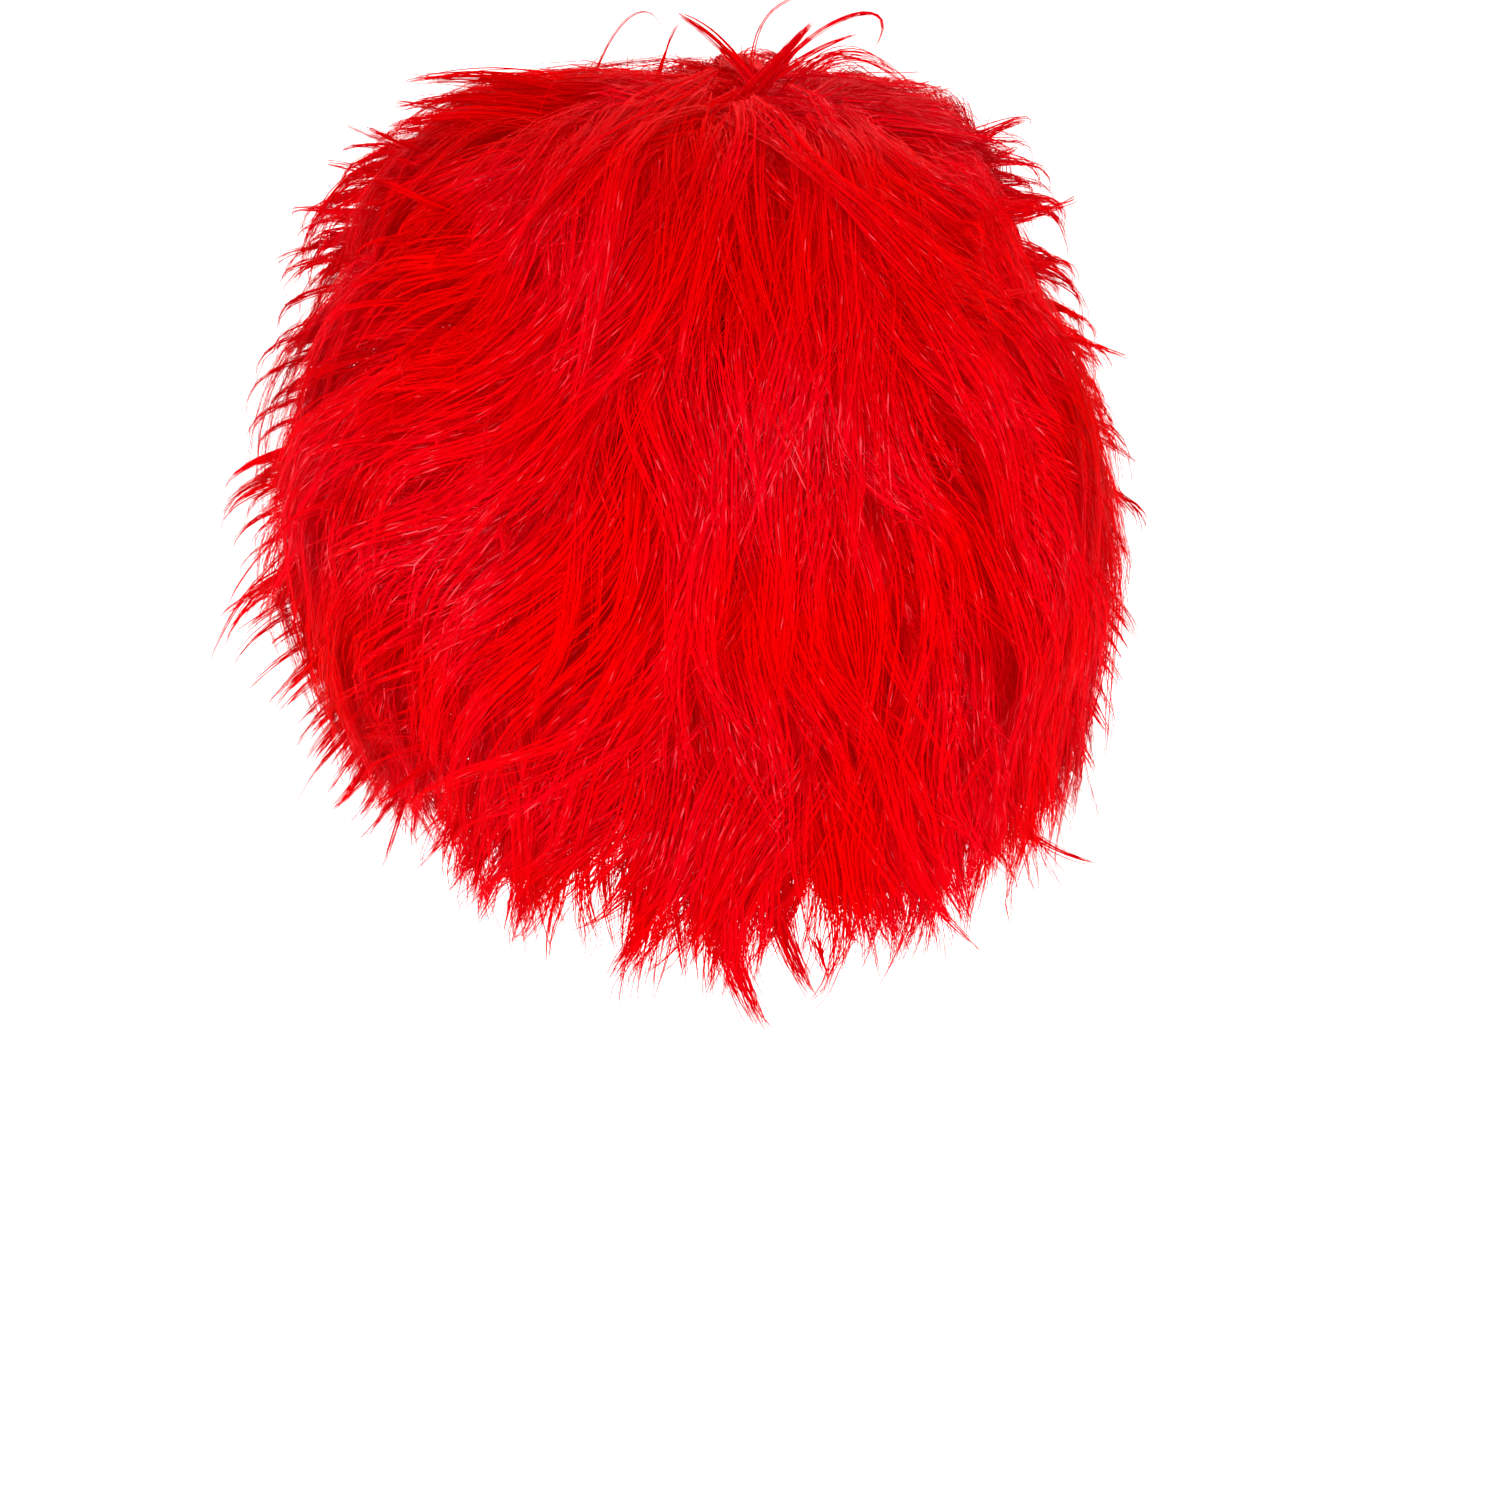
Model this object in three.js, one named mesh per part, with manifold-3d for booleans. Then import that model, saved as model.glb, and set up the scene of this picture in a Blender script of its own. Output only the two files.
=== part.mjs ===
// A shaggy red clown wig: a net cap with an elastic edge band, and seven rows of hair sewn round it.
// Millimetres, +Z up. The wearer looks along +Y, and the origin is where the crown of the head meets the cap.
import * as THREE from "three";
import { mergeVertices } from "three/addons/utils/BufferGeometryUtils.js";
import Module from "manifold-3d";

const wasm = await Module();
wasm.setup();

// Net cap, measured inside, where the head goes
const capWidth = 156;
const capLength = 196;
const capDepth = 100; // from the crown down to the widest level
const foreheadRimAngle = 68; // degrees from straight up, seen from the middle of the head
const earRimAngle = 97;
const napeRimAngle = 134;
const capWall = 1.5;

// Elastic band that binds the rim
const bandWall = 1.8;
const bandHeight = 10;

// How far the hair stands out from the cap where it is fullest, and hangs below the nape rim
const puffLeft = 86;
const puffRight = 50;
const puffBack = 70;
const puffFront = 30;
const puffTop = 34;
const napeHang = 122;

// Sewing and combing
const seamGap = 0.3;
const whorlOffset = 44; // the whorl lies this far behind the top of the head
const sweep = 0.2; // radians that the back hair is combed out towards the ears
const tipFlick = 15; // how far the wildest ends stand off the hair below
const partingFill = 0.45; // how thick a row is where two locks part, as a share of a lock's thickness
const tangle = 0.42; // how far a lock wanders to the side, as a share of the space between columns

// Tessellation
const capColumns = 36;
const capSteps = 8;
const locksInRow = 36;
const columns = 2 * locksInRow; // a parting and a tip for each lock
const rowSpan = 4; // a row of hair reaches this many levels down
const crownShare = 0.07; // share of the way from the crown to the rim
const levelShare = 0.15; // and from each level to the next

// How thick the hair is, level by level: a share of the puff on each side, and how far it rises, of the top's puff
const thickness = [
  { left: 0.16, right: 0.19, back: 0.07, front: 0.18, sideRise: 0.99, backRise: 0.98, frontRise: 0.94 },
  { left: 0.4, right: 0.39, back: 0.27, front: 0.45, sideRise: 1.2, backRise: 1.05, frontRise: 0.99 },
  { left: 0.66, right: 0.61, back: 0.45, front: 0.65, sideRise: 1.38, backRise: 0.92, frontRise: 1.05 },
  { left: 0.82, right: 0.7, back: 0.57, front: 0.8, sideRise: 1.2, backRise: 0.68, frontRise: 1.09 },
  { left: 0.92, right: 0.73, back: 0.69, front: 0.93, sideRise: 0.97, backRise: 0.36, frontRise: 1.06 },
  { left: 0.97, right: 0.8, back: 0.83, front: 0.98, sideRise: 0.58, backRise: 0.09, frontRise: 0.91 },
  { left: 1.0, right: 0.98, back: 1.0, front: 0.98, sideRise: 0.12, backRise: -0.23, frontRise: 0.63 },
  { left: 0.94, right: 0.98, back: 0.86, front: 0.73, sideRise: -0.09, backRise: -0.24, frontRise: 0.53 },
  { left: 0.79, right: 0.82, back: 0.64, front: 0.63, sideRise: -0.12, backRise: -0.24, frontRise: 0.29 },
  { left: 0.55, right: 0.56, back: 0.39, front: 0.47, sideRise: -0.09, backRise: -0.18, frontRise: 0.12 },
  { left: 0.22, right: 0.2, back: 0.13, front: 0.27, sideRise: -0.03, backRise: -0.03, frontRise: 0.0 },
];

// Where the hair hangs below the rim, its inside is this share of the cap's half size out from the middle, and
// has fallen this share of the nape's hang.
const belowRim = [
  { side: 1.05, back: 0.775, front: 1.04, sideFall: 0.23, backFall: 0.25, frontFall: 0.16 },
  { side: 1.096, back: 0.79, front: 1.061, sideFall: 0.52, backFall: 0.51, frontFall: 0.31 },
  { side: 1.135, back: 0.806, front: 1.071, sideFall: 0.8, backFall: 0.76, frontFall: 0.46 },
  { side: 1.167, back: 0.826, front: 1.071, sideFall: 1.05, backFall: 1.0, frontFall: 0.635 },
];

// The rows of hair from the crown down. Fringe is a row's length over the forehead as a share of its full one.
const rows = [
  { name: "crown_locks", level: 0, fringe: 1.0 },
  { name: "top_locks", level: 1, fringe: 1.0 },
  { name: "upper_locks", level: 2, fringe: 1.0 },
  { name: "middle_locks", level: 3, fringe: 1.0 },
  { name: "ear_locks", level: 4, fringe: 0.9 },
  { name: "lower_locks", level: 5, fringe: 0.78 },
  { name: "nape_locks", level: 6, fringe: 0.6 },
];

// Stray tufts that stand up out of the whorl. Length and bend are shares of the tallest one's length, width of
// the thickest one's, and lean is in degrees from straight up.
const tuftLength = 40;
const tuftWidth = 6;
const tufts = [
  { lean: 48, length: 0.9, width: 1.0, bend: 0.1 },
  { lean: -38, length: 1.0, width: 0.6, bend: -0.12 },
  { lean: 14, length: 0.65, width: 0.7, bend: 0.12 },
];

const halfWidth = capWidth / 2;
const halfLength = capLength / 2;
const whorlTilt = whorlOffset / halfLength;
const rimLevel = rows.length - 1;

const hairRed = new THREE.MeshStandardMaterial({ color: 0xd8060c, roughness: 0.45, metalness: 0 });
const capRed = new THREE.MeshStandardMaterial({ color: 0x9c0a10, roughness: 0.9, metalness: 0 });
const bandRed = new THREE.MeshStandardMaterial({ color: 0x7e080d, roughness: 0.8, metalness: 0 });

const range = (count) => Array.from({ length: count }, (_, i) => i);

// The value for a heading from what holds at the sides, the back and the front.
function byHeading(heading, side, back, front) {
  const across = Math.cos(heading) ** 2;
  return across * side + (1 - across) * (Math.sin(heading) < 0 ? back : front);
}

// The angle from straight up to the cap's rim along a heading.
const rimAngle = (heading) =>
  THREE.MathUtils.degToRad(byHeading(heading, earRimAngle, napeRimAngle, foreheadRimAngle));

// A point of the cap, share of the way from its crown (0) to its rim (1), lifted off its inner face.
function capPoint(share, heading, lift, tilt = 0) {
  const halfSizes = new THREE.Vector3(halfWidth, halfLength, capDepth);
  const polar = share * rimAngle(heading);
  const outward = Math.sin(polar);
  const unit = new THREE.Vector3(outward * Math.cos(heading), outward * Math.sin(heading), Math.cos(polar));
  unit.applyAxisAngle(new THREE.Vector3(1, 0, 0), tilt);
  const normal = unit.clone().divide(halfSizes).normalize();
  const point = unit.multiply(halfSizes).addScaledVector(normal, lift);
  point.z -= capDepth;
  return point;
}

// A point of the hair's inside where it hangs below the rim.
function hangPoint({ side, back, front, sideFall, backFall, frontFall }, heading) {
  const along = { x: Math.cos(heading), y: Math.sin(heading) };
  const end = halfLength * (along.y < 0 ? back : front);
  const reach = 1 / Math.hypot(along.x / (halfWidth * side), along.y / end);
  const rim = capPoint(1, heading, 0).z;
  const fall = napeHang * byHeading(heading, sideFall, backFall, frontFall);
  return new THREE.Vector3(reach * along.x, reach * along.y, rim - fall);
}

// From the hair's inside to its outside at a level.
function puffAt({ left, right, back, front, sideRise, backRise, frontRise }, heading) {
  const side = Math.cos(heading) < 0 ? left * puffLeft : right * puffRight;
  const reach = byHeading(heading, side, back * puffBack, front * puffFront);
  const rise = puffTop * byHeading(heading, sideRise, backRise, frontRise);
  return new THREE.Vector3(reach * Math.cos(heading), reach * Math.sin(heading), rise);
}

// Share of the way from the crown to the rim at a level.
const shareAt = (level) => crownShare + levelShare * level;

// A steady number from 0 to 1 for a column at a level.
const chanceAt = (column, level) => THREE.MathUtils.seededRandom(7 + level * columns + column);

// The heading of a column of hair at a level: the back is combed outwards as it comes down, and locks wander.
function headingAt(column, level) {
  const heading = ((column + tangle * (chanceAt(column, level) - 0.5)) / columns) * 2 * Math.PI;
  const combed = sweep * THREE.MathUtils.smoothstep(level, 0, rimLevel);
  return heading - combed * Math.min(0, Math.sin(heading)) * Math.sin(2 * heading + Math.PI);
}

// How far a row's underside stands off the cap at its corners, so that its flat facets clear the curve between.
function seamLift(heading) {
  const halfFacet = 0.5 * levelShare * rimAngle(heading);
  return capWall + seamGap + halfLength * (1 - Math.cos(halfFacet));
}

// A point of the hair at a level: depth 0 lies on the cap or hangs from its rim, and depth 1 is the outside.
function hairPoint(level, column, depth) {
  const heading = headingAt(column, level);
  const share = shareAt(level);
  const onCap = () => capPoint(share, heading, seamLift(heading), whorlTilt * Math.max(0, 1 - share) ** 2);
  const inside = level <= rimLevel ? onCap() : hangPoint(belowRim[level - rimLevel - 1], heading);
  return inside.addScaledVector(puffAt(thickness[level], heading), depth);
}

// Rows lie over each other like shingles. A row of this age, in levels below its own seam, has its underside
// this far out.
function shingle(age) {
  return 1 - Math.max(0, 1 - age / (rowSpan + 1)) ** 1.5;
}

// A point of a row, age levels below its seam, with fill 0 on its underside and 1 on its upper face.
function rowPoint(row, column, age, fill) {
  const whole = Math.min(Math.floor(age), rowSpan - 1);
  const [from, to] = [whole, whole + 1].map((step) => {
    const level = row.level + step;
    const top = shingle(Math.min(level, rowSpan) + 1);
    const under = shingle(step) / top;
    const upper = shingle(step + 1) / top;
    return hairPoint(level, column, THREE.MathUtils.lerp(under, upper, fill));
  });
  return from.lerp(to, age - whole);
}

// Locks of a row alternate with the shorter partings between them.
const isTip = (row, column) => (column + row.level) % 2 === 1;

// How many levels down a column of a row ends.
function columnEnd(row, column) {
  const chance = chanceAt(column + columns * rows.length, row.level);
  const share = isTip(row, column) ? 0.84 + 0.16 * chance : 0.72 + 0.1 * chance;
  const forward = Math.max(0, Math.sin(headingAt(column, row.level))) ** 1.5;
  return rowSpan * share * THREE.MathUtils.lerp(1, row.fringe, forward);
}

// How far the end of a lock stands off. Only what no other row covers may stand off.
function flickOf(row, column, end) {
  const uncovered = Math.max(0, end - (rowSpan - 1));
  return isTip(row, column) ? tipFlick * uncovered * chanceAt(column, row.level + rows.length) : 0;
}

// The outline of a row at a column, down its upper face and back up its underside.
function rowOutline(row, column) {
  const leastStep = 0.12; // levels between two corners where a short lock crowds them
  const lockFill = 0.82; // of the room between two rows
  const endFill = 0.3;
  const end = columnEnd(row, column);
  const outline = range(rowSpan + 1).map((step) => {
    const age = Math.min(step, end - (rowSpan - step) * leastStep);
    const thinned = isTip(row, column) ? 1 : THREE.MathUtils.lerp(1, partingFill, step / rowSpan);
    const fill = step === rowSpan ? endFill : lockFill * thinned;
    return { upper: rowPoint(row, column, age, fill), under: rowPoint(row, column, age, 0) };
  });
  const { upper, under } = outline.at(-1);
  const flick = new THREE.Vector3(upper.x, upper.y, 0).setLength(flickOf(row, column, end));
  upper.add(flick);
  under.add(flick);
  return [...outline.map((corner) => corner.upper), ...outline.reverse().map((corner) => corner.under)];
}

// Skins a ring of outlines. Open outlines start and end at a pole that all of them share.
function skin(outlines, closed) {
  const count = outlines[0].length;
  const corners = [];
  outlines.forEach((outline, i) => {
    const next = outlines[(i + 1) % outlines.length];
    for (let j = 0; j < (closed ? count : count - 1); j++) {
      const [a, b] = [outline[j], outline[(j + 1) % count]];
      const [c, d] = [next[(j + 1) % count], next[j]];
      corners.push(a, b, c, a, c, d);
    }
  });
  const geometry = mergeVertices(new THREE.BufferGeometry().setFromPoints(corners), 1e-4);
  const kept = [];
  const index = geometry.index.array;
  for (let i = 0; i < index.length; i += 3) {
    const [a, b, c] = index.subarray(i, i + 3);
    if (a !== b && b !== c && c !== a) kept.push(a, b, c);
  }
  geometry.setIndex(kept);
  return geometry;
}

// The net cap: an open dome with its outer face first
function capGeometry() {
  const outlines = range(capColumns).map((i) => {
    const heading = (i / capColumns) * 2 * Math.PI;
    const face = (lift) => range(capSteps + 1).map((step) => capPoint(step / capSteps, heading, lift));
    return [...face(capWall), ...face(0).reverse()];
  });
  return skin(outlines, false);
}

// The edge band: it carries on from the cap's rim along the same curve
function bandGeometry() {
  const outlines = range(capColumns).map((i) => {
    const heading = (i / capColumns) * 2 * Math.PI;
    const arc = rimAngle(heading) * capDepth;
    const ends = [1 + seamGap / arc, 1 + bandHeight / arc];
    return [
      ...ends.map((share) => capPoint(share, heading, bandWall)),
      ...ends.reverse().map((share) => capPoint(share, heading, 0)),
    ];
  });
  return skin(outlines, true);
}

// A solid of manifold-3d from a geometry, and back
function solidOf(geometry) {
  const bare = new THREE.BufferGeometry().setAttribute("position", geometry.getAttribute("position"));
  bare.setIndex(geometry.index);
  const merged = mergeVertices(bare, 1e-4);
  return new wasm.Manifold(
    new wasm.Mesh({
      numProp: 3,
      vertProperties: new Float32Array(merged.getAttribute("position").array),
      triVerts: new Uint32Array(merged.index.array),
    }),
  );
}

function geometryOf(solid) {
  const { vertProperties, triVerts, numProp } = solid.getMesh();
  const positions = new Float32Array((vertProperties.length / numProp) * 3);
  for (let i = 0; i * numProp < vertProperties.length; i++) {
    positions.set(vertProperties.subarray(i * numProp, i * numProp + 3), i * 3);
  }
  const geometry = new THREE.BufferGeometry().setAttribute("position", new THREE.BufferAttribute(positions, 3));
  geometry.setIndex(new THREE.BufferAttribute(triVerts, 1));
  return geometry;
}

// A tapering tuft that stands up from the whorl, bent to one side
function tuftGeometry({ lean, length, width, bend }, foot) {
  const sides = 5;
  const steps = 4;
  const sink = 0.2 * tuftLength;
  const tall = length * tuftLength;
  const geometry = new THREE.ConeGeometry((width * tuftWidth) / 2, tall + sink, sides, steps);
  geometry.translate(0, (tall + sink) / 2 - sink, 0);
  const position = geometry.getAttribute("position");
  for (let i = 0; i < position.count; i++) {
    const rise = Math.max(0, position.getY(i)) / tall;
    position.setX(i, position.getX(i) + bend * tuftLength * rise ** 2);
  }
  geometry.rotateX(Math.PI / 2);
  geometry.rotateY(THREE.MathUtils.degToRad(lean));
  geometry.translate(foot.x, foot.y, foot.z);
  geometry.deleteAttribute("normal");
  geometry.deleteAttribute("uv");
  return geometry;
}

// A row of hair. The crown row closes over the whorl, and its tufts are fused to it.
function rowGeometry(row) {
  const outlines = range(columns).map((column) => rowOutline(row, column));
  if (row.level > 0) return skin(outlines, true);
  const topPole = outlines.reduce((sum, outline) => sum.add(outline[0]), new THREE.Vector3());
  topPole.divideScalar(columns);
  const underPole = capPoint(0, 0, capWall + seamGap, whorlTilt);
  const crown = skin(
    outlines.map((outline) => [topPole, ...outline, underPole]),
    false,
  );
  return geometryOf(
    tufts.reduce((solid, tuft) => solid.add(solidOf(tuftGeometry(tuft, topPole))), solidOf(crown)),
  );
}

function piece(name, geometry, material) {
  const mesh = new THREE.Mesh(geometry, material);
  mesh.name = name;
  geometry.computeVertexNormals();
  return mesh;
}

const wig = new THREE.Group();
wig.add(piece("net_cap", capGeometry(), capRed));
wig.add(piece("edge_band", bandGeometry(), bandRed));
rows.forEach((row) => wig.add(piece(row.name, rowGeometry(row), hairRed)));

export default wig;
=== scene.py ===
# %% [markdown]
# A shaggy clown wig in Blender.
# The frame holds the wig's solids: an open net cap, its elastic edge band and seven rows of hair. This
# lesson dresses them. Every row of hair becomes thousands of thin tapered fibres that are combed into
# pointed locks, the cap gets its knitted net, and the band gets its ribs. All of it is built from arrays,
# so that a million triangles take seconds.

# %% Load the frame
import math

import bpy
import numpy as np
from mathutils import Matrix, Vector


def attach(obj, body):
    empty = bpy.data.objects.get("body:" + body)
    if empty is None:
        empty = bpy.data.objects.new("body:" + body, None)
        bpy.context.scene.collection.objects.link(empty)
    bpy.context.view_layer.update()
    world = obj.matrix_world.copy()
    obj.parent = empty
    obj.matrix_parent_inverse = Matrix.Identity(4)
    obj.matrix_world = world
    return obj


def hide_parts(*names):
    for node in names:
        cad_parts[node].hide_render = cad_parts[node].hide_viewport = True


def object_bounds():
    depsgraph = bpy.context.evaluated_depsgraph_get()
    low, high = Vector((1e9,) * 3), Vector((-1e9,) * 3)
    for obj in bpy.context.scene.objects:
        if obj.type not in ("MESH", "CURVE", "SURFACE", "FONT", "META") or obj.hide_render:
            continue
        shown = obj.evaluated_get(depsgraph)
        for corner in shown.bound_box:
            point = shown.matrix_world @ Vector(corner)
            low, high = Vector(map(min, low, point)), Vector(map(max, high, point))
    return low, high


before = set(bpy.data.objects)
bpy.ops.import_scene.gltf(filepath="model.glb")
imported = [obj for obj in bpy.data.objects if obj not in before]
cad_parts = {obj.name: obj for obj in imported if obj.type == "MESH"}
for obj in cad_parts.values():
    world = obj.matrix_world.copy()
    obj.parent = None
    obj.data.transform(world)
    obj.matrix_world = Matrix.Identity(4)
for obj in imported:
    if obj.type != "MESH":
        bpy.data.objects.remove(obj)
BOX_OF_SOLIDS = [list(map(float, corner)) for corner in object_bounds()]
print("solids", BOX_OF_SOLIDS)

# %% [markdown]
# Camera, floor and light.
# The wig was photographed squarely from behind with a long lens, so the camera stands well back and only
# a little above it. A frame 0.525 m high at the wig fixes the lens. The floor curves up behind the wig
# into a pale backdrop, which keeps the ground white and lights the stray hairs from behind, as in the
# studio.

# %% Camera
VIEW_HEIGHT = 0.525
VIEW_MIDDLE = (0.001, 0.0, -0.205)
CAMERA_DISTANCE = 2.6
CAMERA_ELEVATION = math.radians(4.0)
SENSOR_WIDTH = 36.0

camera_data = bpy.data.cameras.new("camera")
camera_data.sensor_width = SENSOR_WIDTH
camera_data.lens = SENSOR_WIDTH * CAMERA_DISTANCE / VIEW_HEIGHT
camera_data.clip_end = 50.0
camera = bpy.data.objects.new("camera", camera_data)
camera.location = (
    VIEW_MIDDLE[0],
    -CAMERA_DISTANCE * math.cos(CAMERA_ELEVATION),
    VIEW_MIDDLE[2] + CAMERA_DISTANCE * math.sin(CAMERA_ELEVATION),
)
camera.rotation_euler = (math.pi / 2 - CAMERA_ELEVATION, 0.0, 0.0)
bpy.context.scene.collection.objects.link(camera)
bpy.context.scene.camera = camera
print("lens", round(camera_data.lens, 1), "mm")

# %% [markdown]
# Finishes are written as sums.
# A material is a small graph of nodes. Reading it is easier when the arithmetic looks like arithmetic, so
# one class wraps a socket and turns + - and * into Math nodes, and one method makes every other node.

# %% A socket that can be added and multiplied
class Signal:
    """An output socket of a material's graph, with arithmetic."""

    def __init__(self, finish, socket):
        self.finish = finish
        self.socket = socket

    def combine(self, operation, *values):
        inputs = dict(enumerate(values))
        return self.finish.node("ShaderNodeMath", {"operation": operation}, inputs)

    def __add__(self, other):
        return self.combine("ADD", self, other)

    def __radd__(self, other):
        return self.combine("ADD", other, self)

    def __sub__(self, other):
        return self.combine("SUBTRACT", self, other)

    def __rsub__(self, other):
        return self.combine("SUBTRACT", other, self)

    def __mul__(self, other):
        return self.combine("MULTIPLY", self, other)

    def __rmul__(self, other):
        return self.combine("MULTIPLY", other, self)

    def clamped(self):
        return self.finish.node("ShaderNodeClamp", {}, {"Value": self})


class Finish:
    """A material whose nodes are made one by one."""

    def __init__(self, name):
        self.material = bpy.data.materials.new(name)
        self.material.use_nodes = True
        self.material.cycles.emission_sampling = "NONE"
        self.tree = self.material.node_tree
        self.surface = self.tree.nodes["Principled BSDF"]

    def node(self, kind, settings, inputs, output=0):
        made = self.tree.nodes.new(kind)
        for name, value in settings.items():
            setattr(made, name, value)
        for name, value in inputs.items():
            self.feed(made.inputs[name], value)
        return Signal(self, made.outputs[output])

    def feed(self, socket, value):
        if isinstance(value, Signal):
            self.tree.links.new(value.socket, socket)
        else:
            socket.default_value = value

    def dress(self, **inputs):
        for name, value in inputs.items():
            self.feed(self.surface.inputs[name.replace("_", " ")], value)

    def mix(self, amount, low, high):
        """Between two colours, on the sockets that the Mix node keeps for colours."""
        return self.node("ShaderNodeMix", {"data_type": "RGBA"}, {"Factor": amount, 6: low, 7: high}, 2)

    def attribute(self, name):
        """A number stored on the mesh."""
        return self.node("ShaderNodeAttribute", {"attribute_name": name}, {}, "Fac")

    def noise(self, scale, detail=2.0):
        where = self.node("ShaderNodeTexCoord", {}, {}, "Object")
        return self.node("ShaderNodeTexNoise", {}, {"Vector": where, "Scale": scale, "Detail": detail})

    def bump(self, height, distance, strength):
        relief = {"Height": height, "Distance": distance, "Strength": strength}
        return self.node("ShaderNodeBump", {}, relief)


def colour(red, green, blue):
    return (red, green, blue, 1.0)


# %% [markdown]
# The studio.
# A wig of pure red needs a white room: a soft key from above the camera, a weaker fill, and a bright
# backdrop whose light comes through the flyaway ends.

# %% Floor and lights
FLOOR_HEIGHT = BOX_OF_SOLIDS[0][2] - 0.05
FLOOR_FRONT = -6.0
FLOOR_HALF_WIDTH = 7.0
SWEEP_START = 2.3
SWEEP_RADIUS = 1.6
BACKDROP_HEIGHT = 6.0


def studio_sweep():
    """A floor that curves up into a backdrop, as one strip."""
    profile = [(FLOOR_FRONT, FLOOR_HEIGHT), (SWEEP_START, FLOOR_HEIGHT)]
    for turn in np.linspace(0.0, math.pi / 2, 25)[1:]:
        profile.append((
            SWEEP_START + SWEEP_RADIUS * math.sin(turn),
            FLOOR_HEIGHT + SWEEP_RADIUS * (1 - math.cos(turn)),
        ))
    profile.append((SWEEP_START + SWEEP_RADIUS, FLOOR_HEIGHT + BACKDROP_HEIGHT))
    verts = [(x, y, z) for y, z in profile for x in (-FLOOR_HALF_WIDTH, FLOOR_HALF_WIDTH)]
    faces = [(2 * i, 2 * i + 1, 2 * i + 3, 2 * i + 2) for i in range(len(profile) - 1)]
    mesh = bpy.data.meshes.new("floor")
    mesh.from_pydata(verts, [], faces)
    mesh.shade_smooth()
    floor = bpy.data.objects.new("floor", mesh)
    bpy.context.scene.collection.objects.link(floor)
    return floor


paper = Finish("white_paper")
paper_grain = paper.noise(3.0)
paper.dress(
    Base_Color=paper.mix(paper_grain, colour(0.86, 0.86, 0.86), colour(0.9, 0.9, 0.9)),
    Roughness=0.9,
    Emission_Color=colour(1.0, 1.0, 1.0),
    Emission_Strength=0.6,
)
floor = studio_sweep()
floor.data.materials.append(paper.material)


def soft_light(name, place, towards, size, watts):
    data = bpy.data.lights.new(name, "AREA")
    data.shape = "DISK"
    data.size = size
    data.energy = watts
    lamp = bpy.data.objects.new(name, data)
    lamp.location = place
    aim = np.subtract(towards, place)
    lamp.rotation_euler = (
        math.atan2(math.hypot(aim[0], aim[1]), -aim[2]),
        0.0,
        math.atan2(-aim[0], aim[1]),
    )
    bpy.context.scene.collection.objects.link(lamp)
    return lamp


WIG_MIDDLE = (0.0, 0.0, -0.13)
soft_light("key", (-0.7, -2.0, 1.2), WIG_MIDDLE, 1.2, 12.0)
soft_light("fill", (1.8, -1.4, 0.2), WIG_MIDDLE, 1.4, 15.0)
soft_light("side", (-2.1, -1.0, 0.1), WIG_MIDDLE, 1.4, 14.0)
soft_light("back", (0.3, 1.5, 1.6), WIG_MIDDLE, 1.0, 10.0)

world = bpy.data.worlds.new("studio")
world.use_nodes = True
world.node_tree.nodes["Background"].inputs["Color"].default_value = colour(1.0, 1.0, 1.0)
world.node_tree.nodes["Background"].inputs["Strength"].default_value = 0.78
bpy.context.scene.world = world

scene = bpy.context.scene
scene.view_settings.view_transform = "Standard"
scene.cycles.max_bounces = 2
scene.cycles.diffuse_bounces = 1
scene.cycles.glossy_bounces = 1
scene.cycles.caustics_reflective = False
scene.cycles.caustics_refractive = False
scene.cycles.adaptive_threshold = 0.3
scene.cycles.debug_use_spatial_splits = True

# %% [markdown]
# The two surfaces that the hair lies between.
# Hair starts on the cap and ends on the outside of the wig. Both are described by a level, which counts
# down from the crown, and a heading, the direction round the head. The outside is the cap plus a puff,
# given level by level in shares of five sizes, the same sizes that shaped the solids.

# %% Sizes of the cap and of the hair
CAP_HALF_WIDTH = 0.078
CAP_HALF_LENGTH = 0.098
CAP_DEPTH = 0.100
CAP_WALL = 0.0015
FOREHEAD_RIM_ANGLE = 68.0
EAR_RIM_ANGLE = 97.0
NAPE_RIM_ANGLE = 134.0
BAND_WALL = 0.0018
BAND_HEIGHT = 0.010
SEAM_GAP = 0.0003

PUFF_LEFT = 0.086
PUFF_RIGHT = 0.050
PUFF_BACK = 0.070
PUFF_FRONT = 0.030
PUFF_TOP = 0.029
RIGHT_SAG = 0.16
NAPE_HANG = 0.122
WHORL_OFFSET = 0.044

CROWN_SHARE = 0.07
LEVEL_SHARE = 0.15
RIM_LEVEL = 6
ROW_SPAN = 4

# Columns: left, right, back, front, side rise, back rise, front rise
THICKNESS = np.array([
    [0.16, 0.19, 0.07, 0.18, 0.99, 0.98, 0.94],
    [0.40, 0.39, 0.27, 0.45, 1.10, 1.00, 0.96],
    [0.66, 0.64, 0.45, 0.60, 1.32, 0.92, 1.05],
    [0.80, 0.52, 0.57, 0.72, 1.20, 0.68, 1.09],
    [0.81, 0.47, 0.69, 0.84, 0.97, 0.36, 1.06],
    [0.90, 0.63, 0.83, 0.88, 0.58, 0.09, 0.91],
    [1.00, 0.84, 1.00, 0.88, 0.12, -0.23, 0.63],
    [0.94, 0.86, 0.86, 0.66, -0.09, -0.24, 0.53],
    [0.72, 0.56, 0.64, 0.56, -0.12, -0.24, 0.29],
    [0.40, 0.26, 0.39, 0.40, -0.09, -0.18, 0.12],
    [0.06, 0.04, 0.13, 0.22, -0.03, -0.03, 0.00],
])

# Columns: side, back, front, side fall, back fall, front fall
BELOW_RIM = np.array([
    [1.050, 0.775, 1.040, 0.23, 0.25, 0.16],
    [1.096, 0.790, 1.061, 0.52, 0.51, 0.31],
    [1.135, 0.806, 1.071, 0.80, 0.76, 0.46],
    [1.167, 0.826, 1.071, 1.05, 1.00, 0.635],
])

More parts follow.
